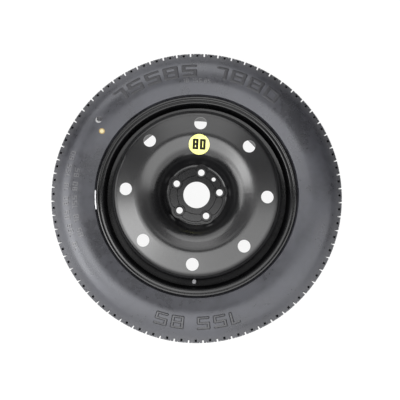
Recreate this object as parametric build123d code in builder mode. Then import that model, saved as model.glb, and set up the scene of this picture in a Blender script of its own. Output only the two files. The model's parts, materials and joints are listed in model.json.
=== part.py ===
from build123d import *
import math
import os

os.makedirs("parts", exist_ok=True)

# Space saver spare wheel, lying on its inboard side with the outboard face up.
# The origin is the centre of the hub bore on the hub mounting face, +Z points outboard.

# Rim
rim_width = 101.6
bead_seat_radius = 231.0
seat_taper = 5.0
seat_width = 21.8
flange_height = 17.3
flange_reach = 13.0
lip_bend = 4.4
flange_bend = 8.3
heel_bend = 6.5
lip_return = 6.5
rim_gauge = 2.4
well_depth = 23.0
well_wall_tilt = 12.0
well_bend = 6.0
seat_edge_bend = 5.0
wheel_offset = 50.0

# Disc
disc_gauge = 3.4
bore_radius = 33.05
bolt_count = 5
bolt_circle_radius = 57.15
bolt_hole_radius = 8.0
bolt_seat_radius = 11.2
bolt_seat_angle = 60.0
bolt_boss_radius = 14.6
bolt_boss_height = 3.4
bolt_boss_draft = 24.0
bolt_clearance_radius = 19.8
bolt_angle = 6.2
locating_hole_radius = 5.0
pad_margin = 17.15
pad_bend = 6.0
bowl_wall_angle = 60.0
bowl_wall_rise = 36.0
bowl_bend = 58.0
bowl_slope = 18.0
bowl_slope_run = 44.0
crest_bend = 50.0
crown_fall = 4.0
knee_bend = 15.0
skirt_draft_run = 1.6
skirt_length = 61.0
skirt_bend = 20.0
vent_count = 8
vent_radius = 15.0
vent_angle = 86.7
vent_inset = 3.0
relief_height = 1.5
relief_draft = 45.0
relief_depth = 20.0
relief_half_angle = 16.0

# Tyre
section_height = 130.0
section_width = 150.0
widest_height = 68.0
bead_clearance = 0.25
toe_set = 3.6
flange_gap = 3.6
ledge_overhang = 0.8
shoulder_height = 100.0
shoulder_inset = 5.6
tread_width = 116.0
crown_drop = 1.3
tread_edge_bend = 3.0
tread_thickness = 18.0
cavity_lead = 22.0
cavity_inset = 5.5
cavity_taper = 18.0
cavity_bend = 26.0
groove_depth = 8.0
groove_width = 8.0
groove_spacing = 44.0
centre_groove_width = 4.0
pitch_count = 64
slot_width = 3.8
slot_depth = 11.0

# Weld beads
weld_count = 8
weld_leg = 3.2
weld_length = 80.0

# Speed sticker
sticker_radius = 25.0
sticker_thickness = 0.3
sticker_angle = 86.9
sticker_inset = 21.0

# Balance weight and its clip
weight_angle = 183.0
weight_length = 47.0
weight_width = 3.0
weight_height = 6.8
weight_overhang = 2.0
clip_length = 18.0
clip_gauge = 0.8
clip_wrap = 50.0

# Valve
valve_angle = 268.5
valve_hole_radius = 5.75
valve_boss_radius = 10.0
valve_bulb_radius = 9.4
valve_bulb_length = 8.0
valve_bulb_taper = 4.0
valve_shoulder_radius = 7.2
valve_shoulder_length = 2.6
valve_neck_radius = 4.9
valve_neck_taper = 4.6
valve_rubber_length = 14.5
tube_radius = 3.2
tube_thread_radius = 3.85
tube_length = 22.6
tube_chamber_radius = 2.6
tube_bore_radius = 1.6
barrel_plug_length = 7.0
barrel_body_radius = 1.95
barrel_length = 16.0
barrel_recess = 2.4
barrel_wall = 1.5
barrel_chamber_radius = 1.4
barrel_chamber_length = 9.5
gasket_length = 1.6
pin_radius = 0.5
pin_guide_radius = 0.95
pin_head_radius = 0.65
pin_head_length = 1.2
pin_reach = 1.7
pin_collar_radius = 1.1
pin_collar_length = 0.8
pin_travel = 1.2
cup_length = 2.0
spring_radius = 1.0
spring_wire_radius = 0.16
spring_pitch = 1.1
spring_height = 5.4
cap_radius = 5.0
cap_gap = 0.9
cap_top = 1.6
cap_flute_count = 12
cap_flute_depth = 0.35
cap_flute_width = 1.2
seal_thickness = 1.0

# Clearances
press_clearance = 0.05
slide_clearance = 0.3

# The section planes hold radius along x and height along y
rim_centre = -wheel_offset


def polar(radius, angle, height):
    turn = math.radians(angle)
    return Vector(radius * math.cos(turn), radius * math.sin(turn), height)


def rise(run, angle):
    return run * math.tan(math.radians(angle))


def section_at(angle, height=0.0):
    return Plane((0, 0, height), x_dir=polar(1, angle, 0), z_dir=polar(1, angle - 90, 0))


def arc_angle(length, radius):
    return math.degrees(length / radius)


# Rim, rolled from one strip: its tyre side is drawn and the gauge lies on the axis side
half_width = rim_width / 2
flange_radius = bead_seat_radius + flange_height
lip_height = half_width + flange_reach
seat_end_height = half_width - seat_width
seat_end_radius = bead_seat_radius - rise(seat_width, seat_taper)
well_radius = bead_seat_radius - well_depth
well_top = seat_end_height - rise(seat_end_radius - well_radius, well_wall_tilt)
well_inner_radius = well_radius - rim_gauge
rim_half_points = [
    (flange_radius - lip_return, lip_height),
    (flange_radius, lip_height),
    (flange_radius, half_width),
    (bead_seat_radius, half_width),
    (seat_end_radius, seat_end_height),
    (well_radius, well_top),
]
rim_half_bends = [lip_bend, flange_bend, heel_bend, seat_edge_bend, well_bend]
rim_points = rim_half_points + [(x, -y) for x, y in reversed(rim_half_points)]

# The valve stands square on the outboard well wall, which leans towards the axis
wall_normal = (-math.sin(math.radians(well_wall_tilt)), math.cos(math.radians(well_wall_tilt)))
valve_seat_radius = (seat_end_radius + well_radius) / 2 + rim_gauge * wall_normal[0]
valve_seat_height = rim_centre + (seat_end_height + well_top) / 2 + rim_gauge * wall_normal[1]
valve_seat = polar(valve_seat_radius, valve_angle, valve_seat_height)
valve_direction = polar(wall_normal[0], valve_angle, wall_normal[1])
valve_side = Vector(0, 0, 1).cross(valve_direction).normalized()
valve_axis = Axis(valve_seat, valve_direction)
valve_plane = Plane(valve_seat, x_dir=valve_side, z_dir=valve_direction)
valve_section = Plane(valve_seat, x_dir=valve_side, z_dir=valve_side.cross(valve_direction))

with BuildPart() as rim:
    with BuildSketch(section_at(0, rim_centre)):
        with BuildLine():
            FilletPolyline(*rim_points, radius=rim_half_bends + rim_half_bends[::-1])
            offset(amount=rim_gauge, side=Side.RIGHT)
        make_face()
    revolve(axis=Axis.Z)
    # A flat is stamped round the valve hole
    with BuildSketch(valve_plane.offset(-rim_gauge)):
        Circle(valve_boss_radius)
    extrude(amount=rim_gauge)
    with BuildSketch(valve_plane.offset(-rim_gauge)):
        Circle(valve_boss_radius)
    extrude(amount=-valve_bulb_length, mode=Mode.SUBTRACT)
    with BuildSketch(valve_plane):
        Circle(valve_shoulder_radius + slide_clearance)
    extrude(amount=valve_rubber_length, mode=Mode.SUBTRACT)
    with BuildSketch(valve_plane):
        Circle(valve_hole_radius)
    extrude(amount=rim_gauge, both=True, mode=Mode.SUBTRACT)
rim.part.label = "rim"
export_step(rim.part, "parts/rim.step")

# Disc, pressed from one sheet: its outboard side is drawn and the gauge lies behind it
skirt_radius = well_inner_radius - press_clearance
skirt_end = -skirt_length
pad_radius = bolt_circle_radius + pad_margin
bowl_radius = pad_radius + bowl_wall_rise / math.tan(math.radians(bowl_wall_angle))
bowl_height = disc_gauge + bowl_wall_rise
crest_radius = bowl_radius + bowl_slope_run
crest_height = bowl_height + rise(bowl_slope_run, bowl_slope)
knee_radius = skirt_radius - skirt_draft_run
knee_height = crest_height - rise(knee_radius - crest_radius, crown_fall)
skirt_shoulder = rim_centre + well_top
disc_points = [
    (bore_radius, disc_gauge),
    (pad_radius, disc_gauge),
    (bowl_radius, bowl_height),
    (crest_radius, crest_height),
    (knee_radius, knee_height),
    (skirt_radius, skirt_shoulder),
    (skirt_radius, skirt_end),
]
disc_bends = [pad_bend, bowl_bend, crest_bend, knee_bend, skirt_bend]
vent_circle_radius = (crest_radius + skirt_radius) / 2 - vent_inset
relief_angle = bolt_angle + 180 / bolt_count

with BuildPart() as wheel_disc:
    with BuildSketch(section_at(0)):
        with BuildLine():
            FilletPolyline(*disc_points, radius=disc_bends)
            offset(amount=disc_gauge, side=Side.RIGHT)
        make_face()
    revolve(axis=Axis.Z)
    with BuildSketch(Plane.XY.offset(crest_height)):
        with PolarLocations(vent_circle_radius, vent_count, start_angle=vent_angle):
            Circle(vent_radius)
    extrude(amount=-bowl_wall_rise, mode=Mode.SUBTRACT)
    # The foot of the bowl is opened for the head of each wheel bolt
    with BuildSketch(Plane.XY.offset(disc_gauge)):
        with PolarLocations(bolt_circle_radius, bolt_count, start_angle=bolt_angle):
            Circle(bolt_clearance_radius)
    extrude(amount=pad_bend, mode=Mode.SUBTRACT)
    # Between the bolts the sheet is lifted off the hub face
    with BuildSketch(Plane.XY.offset(disc_gauge)):
        with PolarLocations(0, bolt_count, start_angle=relief_angle):
            SlotArc(
                CenterArc((0, 0), bolt_circle_radius, -relief_half_angle, 2 * relief_half_angle,
                          mode=Mode.PRIVATE),
                relief_depth,
            )
    extrude(amount=relief_height, taper=relief_draft)
    with BuildSketch(Plane.XY):
        with PolarLocations(0, bolt_count, start_angle=relief_angle):
            SlotArc(
                CenterArc((0, 0), bolt_circle_radius, -relief_half_angle, 2 * relief_half_angle,
                          mode=Mode.PRIVATE),
                relief_depth,
            )
    extrude(amount=relief_height, taper=relief_draft, mode=Mode.SUBTRACT)
    with BuildSketch(Plane.XY.offset(disc_gauge)):
        with PolarLocations(bolt_circle_radius, bolt_count, start_angle=bolt_angle):
            Circle(bolt_boss_radius)
    extrude(amount=bolt_boss_height, taper=bolt_boss_draft)
    with Locations(Plane.XY.offset(disc_gauge + bolt_boss_height)):
        with PolarLocations(bolt_circle_radius, bolt_count, start_angle=bolt_angle):
            CounterSinkHole(bolt_hole_radius, bolt_seat_radius, counter_sink_angle=bolt_seat_angle)
    with BuildSketch(Plane.XY):
        with PolarLocations(bolt_circle_radius, 1, start_angle=relief_angle):
            Circle(locating_hole_radius)
    extrude(amount=bowl_wall_rise, mode=Mode.SUBTRACT)
wheel_disc.part.label = "wheel_disc"
export_step(wheel_disc.part, "parts/wheel_disc.step")

# Tyre: half of the section is drawn from the rim's centre plane and mirrored
crown_radius = bead_seat_radius + section_height
half_section = section_width / 2
half_tread = tread_width / 2
bead_face = half_width - bead_clearance
ledge_radius = flange_radius + flange_gap
toe_height = seat_end_height + toe_set
toe_radius = bead_seat_radius - rise(half_width - toe_height, seat_taper) + bead_clearance
widest = (bead_seat_radius + widest_height, half_section)
ledge = (ledge_radius, lip_height + ledge_overhang)
shoulder = (bead_seat_radius + shoulder_height, half_section - shoulder_inset)
tread_edge = (crown_radius - crown_drop, half_tread)
liner_radius = crown_radius - tread_thickness
cavity_height = half_section - cavity_inset

with BuildPart() as tyre:
    with BuildSketch(section_at(0, rim_centre)) as tyre_section:
        with BuildLine():
            FilletPolyline(
                (toe_radius, toe_height),
                (bead_seat_radius + bead_clearance, bead_face),
                (ledge_radius, bead_face),
                ledge,
                radius=[heel_bend + bead_clearance, flange_bend + bead_clearance],
            )
            TangentArc(widest, ledge, tangent=(-1, 0))
            TangentArc(widest, shoulder, tangent=(1, 0))
            Line(shoulder, tread_edge)
            TangentArc((crown_radius, 0), tread_edge, tangent=(0, 1))
            Line((crown_radius, 0), (liner_radius, 0))
            FilletPolyline(
                (liner_radius, 0),
                (liner_radius, cavity_height - cavity_taper),
                (widest[0] - cavity_lead, cavity_height),
                (toe_radius, toe_height),
                radius=cavity_bend,
            )
        make_face()
        fillet(tyre_section.vertices().sort_by_distance(tread_edge)[0], tread_edge_bend)
        with Locations((crown_radius, groove_spacing / 2)):
            Rectangle(2 * groove_depth, groove_width, mode=Mode.SUBTRACT)
        with Locations((crown_radius, 0)):
            Rectangle(2 * groove_depth, centre_groove_width, mode=Mode.SUBTRACT)
        mirror(about=Plane.XZ)
    revolve(axis=Axis.Z)
    # Cross slots run from each shoulder into the nearest groove, staggered by half a pitch
    with BuildSketch(Plane.XY.offset(rim_centre + half_section)):
        with PolarLocations(crown_radius, pitch_count, start_angle=sticker_angle):
            Rectangle(2 * slot_depth, slot_width)
    extrude(amount=groove_spacing / 2 - half_section, mode=Mode.SUBTRACT)
    with BuildSketch(Plane.XY.offset(rim_centre - half_section)):
        with PolarLocations(crown_radius, pitch_count, start_angle=sticker_angle + 180 / pitch_count):
            Rectangle(2 * slot_depth, slot_width)
    extrude(amount=half_section - groove_spacing / 2, mode=Mode.SUBTRACT)
tyre.part.label = "tyre"
export_step(tyre.part, "parts/tyre.step")

# Weld beads in the corner between the end of the skirt and the well
weld_arc = arc_angle(weld_length, well_inner_radius)
with BuildPart() as weld_seams:
    for index in range(weld_count):
        with BuildSketch(section_at(vent_angle + index * 360 / weld_count - weld_arc / 2)):
            with BuildLine():
                Polyline(
                    (well_inner_radius, skirt_end),
                    (well_inner_radius, skirt_end - weld_leg),
                    (well_inner_radius - weld_leg, skirt_end),
                    close=True,
                )
            make_face()
        revolve(axis=Axis.Z, revolution_arc=weld_arc)
weld_seams.part.label = "weld_seams"
export_step(weld_seams.part, "parts/weld_seams.step")

# Speed sticker, a skin on the slope of the bowl cut to a circle
sticker_run = bowl_slope_run - sticker_inset
sticker_centre_radius = bowl_radius + sticker_run
sticker_centre = polar(sticker_centre_radius, sticker_angle, bowl_height + rise(sticker_run, bowl_slope))
sticker_normal = polar(-rise(1, bowl_slope), sticker_angle, 1)
with BuildPart() as speed_sticker:
    with BuildSketch(section_at(sticker_angle - 90)):
        with BuildLine():
            FilletPolyline(*disc_points, radius=disc_bends)
            offset(amount=press_clearance + sticker_thickness, side=Side.LEFT)
        make_face()
        with BuildLine():
            FilletPolyline(*disc_points, radius=disc_bends)
            offset(amount=press_clearance, side=Side.LEFT)
        make_face(mode=Mode.SUBTRACT)
    revolve(axis=Axis.Z, revolution_arc=180)
    with BuildSketch(Plane(sticker_centre, z_dir=sticker_normal)):
        Circle(sticker_radius)
    extrude(amount=sticker_radius, both=True, mode=Mode.INTERSECT)
speed_sticker.part.label = "speed_sticker"
export_step(speed_sticker.part, "parts/speed_sticker.step")

# Balance weight, seated on the rolled edge of the outboard lip
lip_centre = (flange_radius - lip_bend, lip_height - lip_bend)
weight_arc = arc_angle(weight_length, flange_radius)
with BuildPart() as balance_weight:
    with BuildSketch(section_at(weight_angle - weight_arc / 2, rim_centre)):
        with Locations((flange_radius + weight_overhang, lip_centre[1])):
            Rectangle(weight_width, weight_height, align=(Align.MAX, Align.MIN))
        with Locations(lip_centre):
            Circle(lip_bend + press_clearance, mode=Mode.SUBTRACT)
    revolve(axis=Axis.Z, revolution_arc=weight_arc)
balance_weight.part.label = "balance_weight"
export_step(balance_weight.part, "parts/balance_weight.step")

# Its clip, which grips the tyre side of the flange
clip_arc = arc_angle(clip_length, flange_radius)
flange_centre = (flange_radius - flange_bend, half_width + flange_bend)
clip_radius = flange_radius + press_clearance
with BuildPart() as balance_weight_clip:
    with BuildSketch(section_at(weight_angle - clip_arc / 2, rim_centre)):
        with BuildLine():
            CenterArc(flange_centre, flange_bend + press_clearance, -clip_wrap, clip_wrap)
            Line((clip_radius, flange_centre[1]), (clip_radius, lip_centre[1]))
            offset(amount=clip_gauge, side=Side.RIGHT)
        make_face()
    revolve(axis=Axis.Z, revolution_arc=clip_arc)
balance_weight_clip.part.label = "balance_weight_clip"
export_step(balance_weight_clip.part, "parts/balance_weight_clip.step")

# Rubber of the snap-in valve: bulb inside the tyre, neck in the hole, tapered stem outside
bulb_seat = -rim_gauge - press_clearance
bulb_end = bulb_seat - valve_bulb_length
neck_start = valve_shoulder_length + valve_neck_taper
with BuildPart() as valve_body:
    with BuildSketch(valve_section):
        with BuildLine():
            Polyline(
                (tube_radius, bulb_end),
                (valve_hole_radius, bulb_end),
                (valve_bulb_radius, bulb_end + valve_bulb_taper),
                (valve_bulb_radius, bulb_seat),
                (valve_hole_radius - press_clearance, bulb_seat),
                (valve_hole_radius - press_clearance, press_clearance),
                (valve_shoulder_radius, press_clearance),
                (valve_shoulder_radius, valve_shoulder_length),
                (valve_neck_radius, neck_start),
                (valve_neck_radius, valve_rubber_length),
                (tube_radius, valve_rubber_length),
                close=True,
            )
        make_face()
    revolve(axis=valve_axis)
valve_body.part.label = "valve_body"
export_step(valve_body.part, "parts/valve_body.step")

# Brass tube with a plain bore below and the core's chamber above
barrel_top = tube_length - barrel_recess
barrel_end = barrel_top - barrel_length
cup_seat = barrel_end - slide_clearance
tube_floor = cup_seat - cup_length - pin_travel - slide_clearance
with BuildPart() as valve_tube:
    with BuildSketch(valve_section):
        with BuildLine():
            Polyline(
                (tube_bore_radius, bulb_end),
                (tube_radius - press_clearance, bulb_end),
                (tube_radius - press_clearance, valve_rubber_length + press_clearance),
                (tube_thread_radius, valve_rubber_length + press_clearance),
                (tube_thread_radius, tube_length),
                (tube_chamber_radius, tube_length),
                (tube_chamber_radius, tube_floor),
                (tube_bore_radius, tube_floor),
                close=True,
            )
        make_face()
    revolve(axis=valve_axis)
valve_tube.part.label = "valve_tube"
export_step(valve_tube.part, "parts/valve_tube.step")

# Barrel of the valve core, screwed into the chamber, with a spring room and a pin guide
plug_radius = tube_chamber_radius - press_clearance
plug_end = barrel_top - barrel_plug_length
spring_seat = barrel_end + barrel_wall
with BuildPart() as valve_core_barrel:
    with BuildSketch(valve_section):
        with BuildLine():
            Polyline(
                (pin_guide_radius, barrel_end),
                (barrel_body_radius, barrel_end),
                (barrel_body_radius, plug_end),
                (plug_radius, plug_end),
                (plug_radius, barrel_top),
                (pin_guide_radius, barrel_top),
                (pin_guide_radius, spring_seat + barrel_chamber_length),
                (barrel_chamber_radius, spring_seat + barrel_chamber_length),
                (barrel_chamber_radius, spring_seat),
                (pin_guide_radius, spring_seat),
                close=True,
            )
        make_face()
    revolve(axis=valve_axis)
valve_core_barrel.part.label = "valve_core_barrel"
export_step(valve_core_barrel.part, "parts/valve_core_barrel.step")

# Sealing ring under the plug of the barrel
with BuildPart() as valve_core_gasket:
    with BuildSketch(valve_plane.offset(plug_end - press_clearance)):
        Circle(plug_radius)
        Circle(barrel_body_radius + press_clearance, mode=Mode.SUBTRACT)
    extrude(amount=-gasket_length)
valve_core_gasket.part.label = "valve_core_gasket"
export_step(valve_core_gasket.part, "parts/valve_core_gasket.step")

# Spring between the floor of the barrel and the collar of the pin
spring_start = spring_seat + spring_wire_radius
with BuildPart() as valve_core_spring:
    with BuildLine():
        coil = Helix(
            spring_pitch,
            spring_height,
            spring_radius,
            center=valve_seat + valve_direction * spring_start,
            direction=valve_direction,
        )
    with BuildSketch(Plane(coil @ 0, z_dir=coil % 0)):
        RegularPolygon(spring_wire_radius, 6)
    sweep(path=coil, is_frenet=True)
valve_core_spring.part.label = "valve_core_spring"
export_step(valve_core_spring.part, "parts/valve_core_spring.step")

# Pin of the core, with the head that is pressed and the collar that bears on the spring
pin_top = barrel_top + pin_reach
pin_end = cup_seat - cup_length
collar_start = spring_start + spring_height + spring_wire_radius + slide_clearance
with BuildPart() as valve_core_pin:
    with BuildSketch(valve_section):
        with BuildLine():
            Polyline(
                (0, pin_end),
                (pin_radius, pin_end),
                (pin_radius, collar_start),
                (pin_collar_radius, collar_start),
                (pin_collar_radius, collar_start + pin_collar_length),
                (pin_radius, collar_start + pin_collar_length),
                (pin_radius, pin_top - pin_head_length),
                (pin_head_radius, pin_top - pin_head_length),
                (pin_head_radius, pin_top),
                (0, pin_top),
                close=True,
            )
        make_face()
    revolve(axis=valve_axis)
valve_core_pin.part.label = "valve_core_pin"
export_step(valve_core_pin.part, "parts/valve_core_pin.step")

# Cup seal on the end of the pin
with BuildPart() as valve_core_cup:
    with BuildSketch(valve_plane.offset(cup_seat)):
        Circle(barrel_body_radius)
        Circle(pin_radius + press_clearance, mode=Mode.SUBTRACT)
    extrude(amount=-cup_length)
valve_core_cup.part.label = "valve_core_cup"
export_step(valve_core_cup.part, "parts/valve_core_cup.step")

# Seal disc over the end of the tube
seal_start = tube_length + slide_clearance
with BuildPart() as valve_cap_seal:
    with BuildSketch(valve_plane.offset(seal_start)):
        Circle(tube_thread_radius)
    extrude(amount=seal_thickness)
valve_cap_seal.part.label = "valve_cap_seal"
export_step(valve_cap_seal.part, "parts/valve_cap_seal.step")

# Dust cap with a fluted grip
cap_start = valve_rubber_length + cap_gap
cap_ceiling = seal_start + seal_thickness + slide_clearance
cap_end = cap_ceiling + cap_top
with BuildPart() as valve_cap:
    with BuildSketch(valve_plane.offset(cap_start)):
        Circle(cap_radius)
        with PolarLocations(cap_radius, cap_flute_count):
            Rectangle(2 * cap_flute_depth, cap_flute_width, mode=Mode.SUBTRACT)
    extrude(amount=cap_end - cap_start)
    with BuildSketch(valve_plane.offset(cap_start)):
        Circle(tube_thread_radius + slide_clearance)
    extrude(amount=cap_ceiling - cap_start, mode=Mode.SUBTRACT)
valve_cap.part.label = "valve_cap"
export_step(valve_cap.part, "parts/valve_cap.step")
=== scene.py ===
"""Looks of a space saver spare wheel: slim tyre, black painted steel, sticker, balance weight and valve."""

import json
import logging
import math
from dataclasses import dataclass, replace
from enum import Enum
from typing import ClassVar

import bmesh
import bpy
from mathutils import Matrix, Vector
from mathutils.bvhtree import BVHTree


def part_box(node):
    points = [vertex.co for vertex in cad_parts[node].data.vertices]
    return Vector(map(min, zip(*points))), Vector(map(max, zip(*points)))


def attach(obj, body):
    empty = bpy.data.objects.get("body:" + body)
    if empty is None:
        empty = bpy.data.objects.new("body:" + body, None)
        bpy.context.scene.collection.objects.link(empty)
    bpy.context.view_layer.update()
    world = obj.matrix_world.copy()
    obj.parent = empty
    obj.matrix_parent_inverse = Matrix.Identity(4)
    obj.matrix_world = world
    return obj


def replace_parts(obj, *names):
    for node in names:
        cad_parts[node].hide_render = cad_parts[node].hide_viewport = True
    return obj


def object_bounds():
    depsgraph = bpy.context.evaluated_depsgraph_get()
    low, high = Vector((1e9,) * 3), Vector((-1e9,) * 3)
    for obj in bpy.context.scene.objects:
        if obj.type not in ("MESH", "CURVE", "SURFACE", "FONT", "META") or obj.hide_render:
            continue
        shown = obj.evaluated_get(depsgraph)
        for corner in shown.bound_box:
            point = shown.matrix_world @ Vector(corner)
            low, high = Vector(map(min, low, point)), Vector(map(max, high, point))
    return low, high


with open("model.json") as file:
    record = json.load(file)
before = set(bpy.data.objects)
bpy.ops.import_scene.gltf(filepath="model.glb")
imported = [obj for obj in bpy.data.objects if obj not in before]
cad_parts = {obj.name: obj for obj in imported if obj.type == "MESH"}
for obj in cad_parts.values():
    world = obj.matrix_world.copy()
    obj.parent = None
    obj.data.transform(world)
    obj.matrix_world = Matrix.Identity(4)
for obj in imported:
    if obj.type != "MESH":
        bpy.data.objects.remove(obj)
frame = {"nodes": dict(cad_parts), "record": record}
CAD_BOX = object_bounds()

LOG = logging.getLogger("spare_wheel")
WHEEL_BODY = "wheel"
MM = 0.001
FULL_TURN = 2.0 * math.pi
AXLE = Vector((0.0, 0.0, 1.0))
CENTRE = Vector((0.0, 0.0, 0.0))
MERGE_DISTANCE = 0.005 * MM
UNIT = (0.0, 1.0)

Pair = tuple[float, float]
Colour = tuple[float, float, float, float]
BMesh = bmesh.types.BMesh
Socket = bpy.types.NodeSocket


class Slot(Enum):
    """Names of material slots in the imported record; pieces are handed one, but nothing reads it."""

    TYRE_RUBBER = "tyre_rubber"
    BLACK_PAINT = "black_paint"
    STICKER_FILM = "sticker_film"


def grey(level: float) -> Colour:
    """Returns a neutral colour of one linear level."""
    return (level, level, level, 1.0)


def everything(mesh: BMesh) -> list:
    """Returns all vertices, edges and faces of a mesh."""
    return mesh.verts[:] + mesh.edges[:] + mesh.faces[:]


def verts_of(geometry: list) -> list[bmesh.types.BMVert]:
    """Returns the vertices among parts of a mesh."""
    return [part for part in geometry if isinstance(part, bmesh.types.BMVert)]


def weld(mesh: BMesh) -> None:
    """Merges the vertices that lie on each other."""
    bmesh.ops.remove_doubles(mesh, verts=mesh.verts, dist=MERGE_DISTANCE)


def face_outwards(mesh: BMesh) -> None:
    """Turns the faces of one closed shell outwards.

    Args:
        mesh: The shell.
    """
    bmesh.ops.recalc_face_normals(mesh, faces=mesh.faces)
    if mesh.calc_volume(signed=True) < 0.0:
        bmesh.ops.reverse_faces(mesh, faces=mesh.faces)


def as_object(mesh: BMesh, title: str) -> bpy.types.Object:
    """Makes an object of a modelled mesh.

    Args:
        mesh: The mesh, which is freed.
        title: Name of the object.

    Returns:
        The object, linked to the scene.
    """
    data = bpy.data.meshes.new(title)
    mesh.to_mesh(data)
    mesh.free()
    item = bpy.data.objects.new(title, data)
    bpy.context.scene.collection.objects.link(item)
    return item


class NodeBench:
    """Adds and wires the nodes of one shader tree."""

    def __init__(self, tree: bpy.types.NodeTree) -> None:
        """Keeps the tree that the nodes go into."""
        self.tree = tree

    @classmethod
    def cleared(cls, owner: bpy.types.Material | bpy.types.World) -> "NodeBench":
        """Empties the tree of a material or a world.

        Args:
            owner: The material or world.

        Returns:
            A bench on its empty tree.
        """
        owner.use_nodes = True
        owner.node_tree.nodes.clear()
        return cls(owner.node_tree)

    def add(self, kind: str, **settings: object) -> bpy.types.Node:
        """Adds one node.

        Args:
            kind: Blender's type name of the node.
            settings: Properties of the node and their values.

        Returns:
            The new node.
        """
        node = self.tree.nodes.new(kind)
        for name, value in settings.items():
            setattr(node, name, value)
        return node

    def feed(self, socket: Socket, value: object) -> None:
        """Links an output to an input, or sets the input to a plain value.

        Args:
            socket: The input.
            value: An output socket, a number or a colour.
        """
        if isinstance(value, Socket):
            self.tree.links.new(value, socket)
        else:
            socket.default_value = value

    def maths(self, operation: str, first: object, second: object = 0.0) -> Socket:
        """Adds a Math node.

        Args:
            operation: Name of the operation.
            first: First socket or number.
            second: Second socket or number.

        Returns:
            The result socket.
        """
        node = self.add("ShaderNodeMath", operation=operation)
        self.feed(node.inputs[0], first)
        self.feed(node.inputs[1], second)
        return node.outputs[0]

    def plus(self, first: object, second: object) -> Socket:
        """Returns the sum of two values."""
        return self.maths("ADD", first, second)

    def times(self, first: object, second: object) -> Socket:
        """Returns the product of two values."""
        return self.maths("MULTIPLY", first, second)

    def remap(self, value: object, source: Pair, target: Pair) -> Socket:
        """Maps one range of values smoothly onto another.

        Args:
            value: Socket to map.
            source: Lowest and highest value that count.
            target: What those two become.

        Returns:
            The mapped value.
        """
        node = self.add("ShaderNodeMapRange", interpolation_type="SMOOTHSTEP")
        for socket, entry in zip(node.inputs, (value, *source, *target)):
            self.feed(socket, entry)
        return node.outputs[0]

    def mix(self, factor: object, first: object, second: object) -> Socket:
        """Mixes two colours.

        Args:
            factor: Share of the second colour.
            first: Colour or socket at 0.
            second: Colour or socket at 1.

        Returns:
            The mixed colour.
        """
        node = self.add("ShaderNodeMix", data_type="RGBA")
        factor_in, first_in, second_in = node.inputs[0], node.inputs[6], node.inputs[7]
        self.feed(factor_in, factor)
        self.feed(first_in, first)
        self.feed(second_in, second)
        return node.outputs[2]

    def noise(self, vector: object, scale: object, detail: float) -> Socket:
        """Adds a noise texture.

        Args:
            vector: Coordinates.
            scale: Grains per metre.
            detail: Number of finer octaves.

        Returns:
            The noise value.
        """
        node = self.add("ShaderNodeTexNoise")
        self.feed(node.inputs["Vector"], vector)
        self.feed(node.inputs["Scale"], scale)
        node.inputs["Detail"].default_value = detail
        return node.outputs["Fac"]

    def place(self) -> Socket:
        """Returns the Object coordinates, in metres."""
        return self.add("ShaderNodeTexCoord").outputs["Object"]

    def split(self, vector: Socket) -> bpy.types.NodeOutputs:
        """Takes a vector apart.

        Args:
            vector: The vector.

        Returns:
            Its outputs X, Y and Z.
        """
        node = self.add("ShaderNodeSeparateXYZ")
        self.feed(node.inputs[0], vector)
        return node.outputs

    def bump(self, height: Socket, strength: float, depth: float) -> Socket:
        """Adds a bump.

        Args:
            height: Height from 0 to 1.
            strength: Share of the effect.
            depth: Real depth of height 1, in metres.

        Returns:
            The bent normal.
        """
        node = self.add("ShaderNodeBump")
        node.inputs["Strength"].default_value = strength
        node.inputs["Distance"].default_value = depth
        self.feed(node.inputs["Height"], height)
        return node.outputs["Normal"]


class SharedEffect:
    """A shader node group that is built once and placed in each material that needs it."""

    title = ""
    knobs: dict[str, float] = {}
    results: tuple[str, ...] = ()

    @classmethod
    def tree(cls) -> bpy.types.NodeTree:
        """Builds the group on first use.

        Returns:
            The group.
        """
        made = bpy.data.node_groups.get(cls.title)
        if made is not None:
            return made
        made = bpy.data.node_groups.new(cls.title, "ShaderNodeTree")
        for label, value in cls.knobs.items():
            socket = made.interface.new_socket(label, in_out="INPUT", socket_type="NodeSocketFloat")
            socket.default_value = value
        for label in cls.results:
            made.interface.new_socket(label, in_out="OUTPUT", socket_type="NodeSocketFloat")
        bench = NodeBench(made)
        source = bench.add("NodeGroupInput")
        sink = bench.add("NodeGroupOutput")
        for label, value in cls.wire(bench, source.outputs).items():
            bench.feed(sink.inputs[label], value)
        return made

    @classmethod
    def wire(cls, bench: NodeBench, knobs: bpy.types.NodeOutputs) -> dict[str, Socket]:
        """Builds the inside of the group.

        Args:
            bench: Bench of the group's own tree.
            knobs: The group's inputs.

        Returns:
            A socket for each result.
        """
        raise NotImplementedError

    @classmethod
    def use(cls, bench: NodeBench, **values: object) -> bpy.types.NodeOutputs:
        """Places the group in a material.

        Args:
            bench: Bench of the material's tree.
            values: A value for each knob.

        Returns:
            The group's outputs.
        """
        node = bench.add("ShaderNodeGroup", node_tree=cls.tree())
        for label, value in values.items():
            bench.feed(node.inputs[label.capitalize()], value)
        return node.outputs


class WheelRadius(SharedEffect):
    """Distance from the wheel's axis."""

    title = "wheel_radius"
    results = ("Radius",)

    @classmethod
    def wire(cls, bench: NodeBench, knobs: bpy.types.NodeOutputs) -> dict[str, Socket]:
        """Works out the distance from Object coordinates.

        Args:
            bench: Bench of the group's own tree.
            knobs: The group's inputs.

        Returns:
            A socket for each result.
        """
        place = bench.split(bench.place())
        x, y = place["X"], place["Y"]
        return {"Radius": bench.maths("SQRT", bench.plus(bench.times(x, x), bench.times(y, y)))}


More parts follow.
